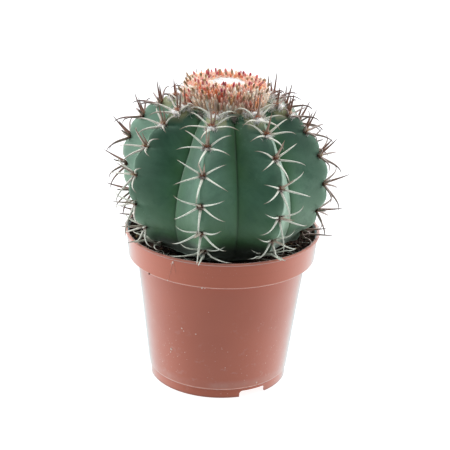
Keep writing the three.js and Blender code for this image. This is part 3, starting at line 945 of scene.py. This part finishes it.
def pot_radius(height, ledge=BAND_BOTTOM):
    """The pot's outer radius at a height. The band starts with a step, or with a slope up to a ledge."""
    radii = (BODY_BOTTOM_RADIUS, BODY_TOP_RADIUS, BAND_BOTTOM_RADIUS, BAND_TOP_RADIUS)
    return np.interp(height, (FOOT_HEIGHT, BAND_BOTTOM, ledge, BAND_TOP), radii)


def pot_profile():
    floor = FOOT_HEIGHT + WALL
    return rounded([
        (0.0, FOOT_HEIGHT),
        (FOOT_RADIUS - FOOT_WALL, FOOT_HEIGHT),
        (FOOT_RADIUS - FOOT_WALL, 0.0),
        (FOOT_RADIUS, 0.0),
        (FOOT_RADIUS, FOOT_HEIGHT - 0.6),
        (BODY_BOTTOM_RADIUS, FOOT_HEIGHT),
        (BODY_TOP_RADIUS, BAND_BOTTOM),
        (BAND_BOTTOM_RADIUS - 0.6, BAND_BOTTOM),
        (BAND_BOTTOM_RADIUS, BAND_BOTTOM + 0.7),
        (BAND_TOP_RADIUS, BAND_TOP),
        (LIP_RADIUS, BAND_TOP + 0.7),
        (LIP_RADIUS, POT_HEIGHT - 0.5),
        (LIP_RADIUS - 0.6, POT_HEIGHT),
        (LIP_RADIUS - 2.0, POT_HEIGHT),
        (BAND_TOP_RADIUS - WALL, BAND_TOP),
        (BAND_BOTTOM_RADIUS - WALL, LEDGE),
        (BODY_TOP_RADIUS - WALL, BAND_BOTTOM),
        (pot_radius(floor) - WALL, floor),
        (0.0, floor),
    ], POT_ROUNDING)


def notch_outline():
    half = NOTCH_WIDTH / 2
    outline = [(-half, -1.0), (half, -1.0)]
    for side, first in ((1, 0.0), (-1, math.pi / 2)):
        for turn in np.linspace(first, first + math.pi / 2, 7):
            outline.append((side * (half - NOTCH_CORNER) + NOTCH_CORNER * math.cos(turn),
                            NOTCH_HEIGHT - NOTCH_CORNER + NOTCH_CORNER * math.sin(turn)))
    return outline


def prism(name, outline, depth, matrix):
    """A temporary solid: an outline in X and Z, pushed along Y by depth, then placed by matrix."""
    count = len(outline)
    points = [(x, y, z) for y in (-depth / 2, depth / 2) for x, z in outline]
    faces = [tuple(range(count)), tuple(range(2 * count - 1, count - 1, -1))]
    for i in range(count):
        j = (i + 1) % count
        faces.append((i, i + count, j + count, j))
    mesh = bpy.data.meshes.new(name)
    mesh.from_pydata([Vector(p) * MM for p in points], [], faces)
    mesh.transform(matrix)
    mesh.update()
    return link_object(name, mesh)


def cut(obj, cutters):
    """Cuts the cutters out of obj and removes them."""
    for cutter in cutters:
        modifier = obj.modifiers.new("cut", "BOOLEAN")
        modifier.object = cutter
        modifier.operation = "DIFFERENCE"
        modifier.solver = "EXACT"
    graph = bpy.context.evaluated_depsgraph_get()
    mesh = bpy.data.meshes.new_from_object(obj.evaluated_get(graph))
    obj.modifiers.clear()
    obj.data = mesh
    for cutter in cutters:
        bpy.data.objects.remove(cutter)


def build_pot(material):
    points, faces = lathe_mesh(pot_profile(), POT_SEGMENTS)
    pot = build_object("pot_shell", points, faces, material)
    cutters = []
    for i in range(NOTCHES):
        turn = Matrix.Rotation(math.radians(NOTCH_AZIMUTH + 360 / NOTCHES * i), 4, "Z")
        place = turn @ Matrix.Translation(Vector((0, -FOOT_RADIUS, 0)) * MM)
        cutters.append(prism("notch_cutter", notch_outline(), NOTCH_CUT, place))
    for i in range(DRAIN_HOLES):
        centre = polar(DRAIN_RING_RADIUS, 360 / DRAIN_HOLES * i, FOOT_HEIGHT + WALL / 2)
        stand = Matrix.Translation(Vector(centre) * MM) @ Matrix.Rotation(math.pi / 2, 4, "X")
        cutters.append(prism("drain_cutter", circle(DRAIN_RADIUS, DRAIN_SIDES), 4 * WALL, stand))
    cut(pot, cutters)
    pot.data.polygons.foreach_set("use_smooth", [True] * len(pot.data.polygons))
    pot.data.set_sharp_from_angle(angle=math.radians(SHARP_ANGLE))
    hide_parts("pot")


def wall_point(azimuth, height, proud):
    """A point on the outside of the pot, proud of it by a little."""
    return polar(pot_radius(height) + proud, azimuth, height)


def build_pot_marks(material):
    """Dried grit on the pot's wall, and the runs that water left below one piece of it."""
    rng = np.random.default_rng(3)
    azimuths = rng.uniform(-180, 180, POT_SPECKS)
    heights = rng.triangular(8, 16, 76, POT_SPECKS)
    sizes = rng.uniform(0.12, 0.3, POT_SPECKS)
    grit = [*POT_GRIT, *zip(azimuths, heights, sizes)]
    tones = np.tile(GRIT_PALE, (len(grit), 1))
    tones[DARK_GRAIN] = GRIT_DARK
    lumps = []
    for azimuth, height, size in grit:
        lump = CRUMB_POINTS * rng.uniform(0.7, 1.3, (len(CRUMB_POINTS), 1)) * size
        axes = np.array([polar(1.0, azimuth + 90), UP, polar(0.35, azimuth)])
        lumps.append(wall_point(azimuth, height, 0.0) + lump @ axes)
    lump_object("pot_grit", lumps, tones, material)
    share = np.linspace(0, 1, 8)
    lines = [wall_point(mixed(start, end, share ** 0.8), mixed(RUN_TOP, low, share), 0.02)
             for start, end, low in POT_RUNS]
    radii = np.tile(RUN_RADIUS * (1 - 0.6 * share), (len(lines), 1))
    tint = np.tile(WATER_RUN, (len(lines), len(share), 1))
    strand_object("pot_runs", [(np.array(lines), radii, tint)], 5, material)


# Soil


def soil_wall(height):
    """The soil's outer radius, a gap inside the pot's inner wall, which slopes out to a ledge."""
    return pot_radius(height, LEDGE) - WALL - GAP


def soil_height(points):
    """How far the lumpy top of the soil lies over its mean height, in millimetres."""
    x, y = points[:, :2].T
    waves = 0.45 * np.sin(0.31 * x + 0.9) * np.sin(0.27 * y - 0.4) + 0.3 * np.sin(0.83 * x - 0.61 * y)
    fine = 0.22 * np.sin(1.9 * x + 1.3 * y) * np.sin(1.6 * y - 1.1 * x)
    return waves + (fine + 0.16 * np.sin(3.7 * x - 2.9 * y + 1))


def build_soil(material):
    azimuth = turns(SOIL_SEGMENTS)
    rings = [polar(soil_wall(height), azimuth, height)
             for height in (SOIL_BOTTOM, 30.0, 60.0, BAND_BOTTOM - 0.4, LEDGE, SOIL_TOP - 0.6)]
    lumpy = [(soil_wall(SOIL_TOP + CRUST_HEIGHT), CRUST_HEIGHT, 1.0)]
    for height in (CRUST_HEIGHT - 0.4, 1.2):
        lumpy.append((soil_wall(SOIL_TOP + height) - CRUST_THICKNESS, height, 1.0))
    for radius in np.linspace(soil_wall(SOIL_TOP) - CRUST_FOOT, SEAT_RADIUS, LUMPY_RINGS):
        lumpy.append((radius, 0.0, min(1.0, (radius - LUMPY_FROM_RADIUS) / 2)))
    for radius, height, share in lumpy:
        ring = polar(radius, azimuth, SOIL_TOP + height)
        ring[:, 2] += soil_height(ring) * share
        rings.append(ring)
    rings += [polar(radius, azimuth, height) for radius, height in SEAT]
    points, faces = closed_mesh(np.array(rings), SOIL_BOTTOM, SEAT_BOTTOM)
    soil = build_object("soil_bed", points, faces, material)
    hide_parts("potting_soil")


def build_crumbs(material):
    """Crumbs of peat, bark and grit on the soil, most of them in the ring between stem and pot."""
    rng = np.random.default_rng(9)
    nearest, furthest = CRUMB_REACH
    radius = np.sqrt(rng.uniform(nearest ** 2, furthest ** 2, CRUMBS))
    centre = polar(radius, rng.uniform(0, 360, CRUMBS))
    centre[:, 2] = SOIL_TOP + soil_height(centre)
    size = rng.gamma(2.2, 0.22, CRUMBS).clip(0.2, 1.6)
    stretch = rng.uniform(0.55, 1.3, (CRUMBS, 1, 3))
    bumps = rng.uniform(0.75, 1.25, (CRUMBS, len(CRUMB_POINTS), 1))
    lumps = centre[:, None] + CRUMB_POINTS * bumps * stretch * size[:, None, None]
    kinds = rng.uniform(0, 1, CRUMBS)[:, None]
    tone = np.where(kinds < PEAT_UP_TO, SOIL_DARK * 0.9, SOIL_LIGHT)
    tone = np.where(kinds > BARK_UP_TO, SOIL_GRIT, tone) * rng.uniform(0.6, 1.3, (CRUMBS, 1))
    lump_object("soil_crumbs", lumps, tone, material)


def build_litter(material):
    """Fallen spines and pale fibres that lie on the soil."""
    rng = np.random.default_rng(31)
    azimuth = np.concatenate([rng.normal(*group) for group in FALLEN_GROUPS]
                             + [rng.uniform(0, 360, FALLEN_ANYWHERE)])
    count = len(azimuth)
    middle = polar(rng.uniform(43, 53, count), azimuth)
    turn = rng.uniform(0, math.pi, count)
    along = np.stack([np.cos(turn), np.sin(turn), np.zeros(count)], -1)
    half = rng.uniform(2.5, 5.5, (count, 1))
    lift = rng.uniform(0.5, 1.8, count)
    ends = []
    for sign in (-1, 1):
        end = middle + along * half * sign
        reach = np.hypot(end[:, 0], end[:, 1])
        end *= (np.clip(reach, *FALLEN_REACH) / reach)[:, None]
        end[:, 2] = SOIL_TOP + soil_height(end) + lift
        end[:, 2] += sign * rng.uniform(-0.5, 0.5, count)
        ends.append(end)
    sag = np.stack([rng.normal(0, 0.5, count), rng.normal(0, 0.5, count), rng.uniform(0, 0.8, count)], -1)
    tone = BONE * rng.uniform(0.55, 1.0, (count, 1))
    strands = curved_strands(*ends, sag, rng.uniform(0.18, 0.4, count), tone * 0.8, tone, 7, 0.85)
    strand_object("fallen_spines", [strands], 5, material)


# Cap of bristles and wool


def build_cap_core(material):
    """The core that the bristles stand on."""
    points, faces = lathe_mesh(rounded(CAP_PROFILE, CAP_ROUNDING), CAP_SEGMENTS)
    core = build_object("cap_core", points, faces, material, CAP_BROWN)
    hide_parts("cephalium_bristles")


def stand_on_cap(rng, azimuth, position, length_share):
    """Roots, directions, outward directions and lengths of things that grow between the tufts' rows."""
    radius, height, length, lean = (np.interp(position, np.arange(len(TUFT_ROWS)), column)
                                    for column in zip(*TUFT_ROWS))
    turn = np.radians(azimuth)
    outward = polar(1.0, azimuth)
    shorter = 1 - CAP_LOPSIDED * np.clip(np.sin(turn), 0, 1)
    left = np.clip(-np.sin(turn), 0, 1)
    tilt = lean * shorter ** 2 * (1 + CAP_LEFT_LEAN * left) + rng.normal(0, 4, len(azimuth))
    angle = np.radians(tilt)[:, None]
    aim = outward * np.sin(angle) + UP * np.cos(angle)
    front = np.clip(np.cos(turn), 0, 1) * ramp(position, 5, 8)
    size = shorter + CAP_LEFT_LENGTH * left * np.clip(lean / 20 - 0.2, 0, 1)
    reach = length * length_share * size + CAP_FRONT_RISE * front
    return polar(radius, azimuth, height), aim, outward, reach[:, None]


def build_bristles(material):
    """Pointed tufts under thousands of fine bristles, in patches of orange, peach, cream and brown."""
    rng = np.random.default_rng(17)
    azimuth, row = [], []
    for number, (radius, *_) in enumerate(TUFT_ROWS):
        count = int(2 * math.pi * radius / TUFT_SPACING)
        steps = np.arange(count) + 0.5 * (number % 2) + rng.uniform(-0.25, 0.25, count)
        azimuth.append(steps * 360 / count)
        row.append(number + rng.uniform(-0.3, 0.3, count))
    azimuth = np.concatenate(azimuth)
    row = np.concatenate(row)
    tufts = len(row)
    root, aim, outward, length = stand_on_cap(rng, azimuth, row, rng.uniform(0.78, 1.05, tufts))
    hues, upper, lower = (np.array(column) for column in zip(*TUFT_HUES))
    height_share = ramp(row, 1, 5)[:, None]
    limits = mixed(np.cumsum(lower), np.cumsum(upper), height_share)
    turn = np.radians(azimuth)
    patch = 0.5 + 0.28 * np.sin(3 * turn + 0.8 * row + 2.4) + 0.22 * np.sin(7 * turn - row)
    chance = 0.68 * patch[:, None] + 0.32 * rng.uniform(0, 1, (tufts, 1))
    kind = (chance > limits / limits[:, -1:]).sum(1)
    tone = np.minimum(hues[kind] * rng.uniform(0.88, 1.06, (tufts, 1)), 1.0)
    foot = tone * (0.76 + 0.22 * height_share) + CAP_BROWN * (0.36 - 0.3 * height_share)
    core = curved_strands(root - aim, root + aim * length * 0.9, np.zeros((tufts, 3)), TUFT_CORE_RADIUS,
                          foot, tone, 6, 0.55)

    def each(values):
        return np.repeat(values, BRISTLES_PER_TUFT, axis=0)

    count = tufts * BRISTLES_PER_TUFT
    starts = each(root) + rng.normal(0, TUFT_RADIUS * 0.7, (count, 3))
    reach = each(length) * rng.uniform(0.7, 1.08, (count, 1))
    tips = each(root) + each(aim) * reach + rng.normal(0, TUFT_RADIUS * 0.6, (count, 3))
    sag = each(outward) * rng.uniform(0.0, 0.6, (count, 1)) + rng.normal(0, 0.15, (count, 3))
    shade = np.minimum(each(tone) * rng.uniform(0.8, 1.15, (count, 1)), 1.0)
    hairs = curved_strands(starts, tips, sag, rng.uniform(0.14, 0.24, count), each(foot), shade, 4, 0.75)
    for name, strands, sides in (("cap_tufts", core, 7), ("cap_bristles", hairs, HAIR_SIDES)):
        obj = strand_object(name, [strands], sides, material)
        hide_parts("cephalium_bristles")


def build_buds(material):
    """Dried flowers like matchsticks: pale stalks with blunt crimson, pink and olive-brown heads."""
    rng = np.random.default_rng(29)
    share = FLOWER_STEPS[None, :, None]
    headed = ramp(share, FLOWER_HEAD_FROM, FLOWER_HEAD_FULL)
    strands = []
    for count, lowest, highest, length_share in FLOWER_RINGS:
        azimuth = (np.arange(count) + rng.uniform(-0.4, 0.4, count)) * 360 / count
        position = rng.uniform(lowest, highest, count)
        root, aim, _, length = stand_on_cap(rng, azimuth, position, length_share)
        aim = aim + rng.normal(0, 0.06, (count, 3))
        length = length * rng.uniform(0.85, 1.08, (count, 1))
        bright = np.clip((position - 2) / 4, 0.1, 1)
        kind = rng.uniform(0, 1, count)
        red = (kind < 0.4 * bright)[:, None]
        rosy = (kind > 1 - 0.25 * bright)[:, None]
        deep = rng.uniform(0, 1, (count, 1)) < 0.6
        head = np.where(red, np.where(deep, MAROON, CRIMSON), np.where(rosy, PINK, OLIVE_BROWN))
        head = head * rng.uniform(0.85, 1.15, (count, 1))
        stalk = np.where(red | rosy, STALK_PEACH, STALK_OLIVE) * rng.uniform(0.75, 1.0, (count, 1))
        lines = root[:, None] + (aim * length)[:, None] * share
        widths = rng.uniform(0.6, 0.85, (count, 1)) * FLOWER_WIDTHS
        strands.append((lines, widths, mixed(stalk[:, None], head[:, None], headed)))
    obj = strand_object("cap_buds", strands, 8, material)
    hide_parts("cephalium_bristles")


def build_wool(felt):
    """The white wool: a lumpy mound under curled white threads."""
    rng = np.random.default_rng(41)
    radius = HOLLOW_RADIUS - GAP
    floor = HOLLOW_FLOOR + GAP
    profile = [(0.0, floor), (radius, floor), *((radius * share, height) for share, height in WOOL_OUTLINE)]
    points, faces = lathe_mesh(rounded(profile, WOOL_ROUNDING), CAP_SEGMENTS)
    wave = 0.3 * np.sin(1.1 * points[:, 0]) * np.sin(1.3 * points[:, 1] + 0.7)
    points[:, 2] += np.where(points[:, 2] > WOOL_LUMPY_FROM, wave, 0)
    mound = build_object("wool_mound", points, faces, felt, WOOL_WHITE)
    count = WOOL_THREADS
    spread = np.sqrt(rng.uniform(0, 1, count)) * radius
    root = polar(spread, rng.uniform(0, 360, count))
    root[:, 2] = WOOL_THREAD_HEIGHT - 1.5 * (spread / radius) ** 3
    tips = root + np.concatenate([rng.normal(0, 1.4, (count, 2)), rng.uniform(0.0, 0.8, (count, 1))], 1)
    sag = np.concatenate([rng.normal(0, 0.6, (count, 2)), rng.uniform(0.0, 0.4, (count, 1))], 1)
    tone = np.tile(WOOL_WHITE, (count, 1))
    strands = curved_strands(root, tips, sag, 0.1, tone, tone, 5, 0.5)
    threads = strand_object("wool_threads", [strands], HAIR_SIDES, felt)
    for obj in (mound, threads):
        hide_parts("cephalium_wool")


def build_crown_wool(felt):
    """Grey and white wool in the tops of the grooves and at the heads of the ribs, under the cap."""
    rng = np.random.default_rng(47)
    strands = []
    for rib in range(RIBS):
        for offset, radius, height, width, white, count in CROWN_WOOL:
            angle = rib_azimuth(rib) + offset + rng.normal(0, width * 0.9, count)
            depth = rng.normal(0, 0.7, count)
            root = polar(radius + depth, angle, height + rng.normal(0, 1.2, count))
            outward = polar(1.0, angle)
            tips = root + outward * rng.uniform(0.2, 1.8, (count, 1)) + rng.normal(0, 1.0, (count, 3))
            tips[:, 2] += rng.uniform(0, 1.6, count)
            sag = rng.normal(0, 0.5, (count, 3))
            shade = mixed(FELT_GREY, FELT_WHITE, white) * rng.uniform(0.7, 1.1, (count, 1))
            strands.append(curved_strands(root, tips, sag, 0.12, shade * 0.85, shade, 4, 0.6))
    obj = strand_object("crown_wool", strands, HAIR_SIDES, felt)
    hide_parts("cactus_stem")


# Studio


def build_camera():
    data = bpy.data.cameras.new("camera")
    data.lens = LENS
    data.sensor_width = SENSOR
    camera = link_object("camera", data)
    elevation = math.radians(CAMERA_ELEVATION)
    back = Vector((0, -math.cos(elevation), math.sin(elevation)))
    place = (Vector(LOOK_AT) + back * CAMERA_DISTANCE) * MM
    tilt = Matrix.Rotation(math.pi / 2 - elevation, 4, "X")
    roll = Matrix.Rotation(math.radians(CAMERA_ROLL), 4, "Z")
    camera.matrix_world = Matrix.Translation(place) @ tilt @ roll
    bpy.context.scene.camera = camera


def build_world():
    """A white light tent: bright behind and at the sides, dark towards the front."""
    world = bpy.data.worlds.new("light_tent")
    bpy.context.scene.world = world
    n = Nodes("light_tent", world, "Generated")
    angle = n.calc("ARCTAN2", n.axis("X"), n.times(n.axis("Y"), -1.0))
    azimuth = n.calc("FRACT", n.calc("DIVIDE", angle, 2 * math.pi), 0.0)
    heights = [math.sin(math.radians(elevation)) for elevation, _ in TENT_RINGS]
    rings = [azimuth_ramp(n, azimuth, values) for _, values in TENT_RINGS]
    level = rings[0]
    for below, height, ring in zip(heights, heights[1:], rings[1:]):
        level = n.mix(n.spread(n.axis("Z"), below, height), level, ring)
    background = n.tree.nodes["Background"]
    n.put(background.inputs["Strength"], TENT_BRIGHTEST)
    n.put(background.inputs["Color"], level)


def azimuth_ramp(n, azimuth, values):
    """A ring of the tent: brightness at equal steps of azimuth from the front, and smooth between."""
    ramp = n.add("ShaderNodeValToRGB", {0: azimuth})
    ramp.color_ramp.interpolation = "EASE"
    elements = ramp.color_ramp.elements
    steps = len(values)
    for i in range(1, steps):
        elements.new(i / steps)
    for i in range(steps + 1):
        level = values[i % steps] / TENT_BRIGHTEST
        elements[i].color = (level, level, level, 1.0)
    return ramp.outputs[0]


def build_stage(name, points, faces, material):
    """A piece of the studio that the camera sees, but that sends no light onto the plant."""
    mesh = bpy.data.meshes.new(name)
    mesh.from_pydata(points, [], faces)
    mesh.materials.append(material)
    obj = link_object(name, mesh)
    obj.visible_diffuse = False
    obj.visible_glossy = False
    obj.visible_shadow = False


def glowing_material(name, noise_scale, dark, light, roughness, strength):
    n = Nodes(name)
    pale = n.mix(n.noise(noise_scale), dark, light)
    return n.finish(pale, roughness, Emission_Color=(1.0, 1.0, 1.0, 1.0), Emission_Strength=strength)


def build_studio():
    """A white floor lit as on a light table, with only a faint shadow, and a white wall all round."""
    white = glowing_material("floor_white", 3.0, (0.24, 0.25, 0.26), (0.26, 0.27, 0.28), 0.9, 0.86)
    lit = glowing_material("wall_white", 1.0, (0.3, 0.3, 0.3), (0.32, 0.32, 0.32), 1.0, 1.0)
    edge = [(y, x) for x, y in circle(STUDIO_RADIUS, STUDIO_SIDES)]
    build_stage("floor", [(x, y, 0.0) for x, y in edge], [tuple(range(STUDIO_SIDES))[::-1]], white)
    rings = [(x, y, z) for z in (0.0, 2 * STUDIO_RADIUS) for x, y in edge]
    build_stage("wall", rings, grid_faces(2, STUDIO_SIDES).tolist(), lit)


def main():
    bpy.context.scene.view_settings.view_transform = "Standard"
    build_camera()
    build_world()
    build_studio()
    skin = skin_material()
    horn = tinted_material("spine_horn", 0.36, 1800.0, 0.00008)
    felt = tinted_material("wool_felt", 0.95, 2500.0, 0.0001, 0.4, 0.5)
    bristle = tinted_material("cap_bristle", 0.7, 2500.0, 0.0001, 0.1, 0.8)
    build_stem(skin)
    build_spines(horn)
    build_felt(felt)
    build_pot(pot_material())
    build_pot_marks(tinted_material("dried_marks", 0.8, 3000.0, 0.0001))
    build_soil(soil_material())
    build_crumbs(crumb_material())
    build_litter(horn)
    build_cap_core(bristle)
    build_bristles(bristle)
    build_buds(bristle)
    build_wool(felt)
    build_crown_wool(felt)


main()
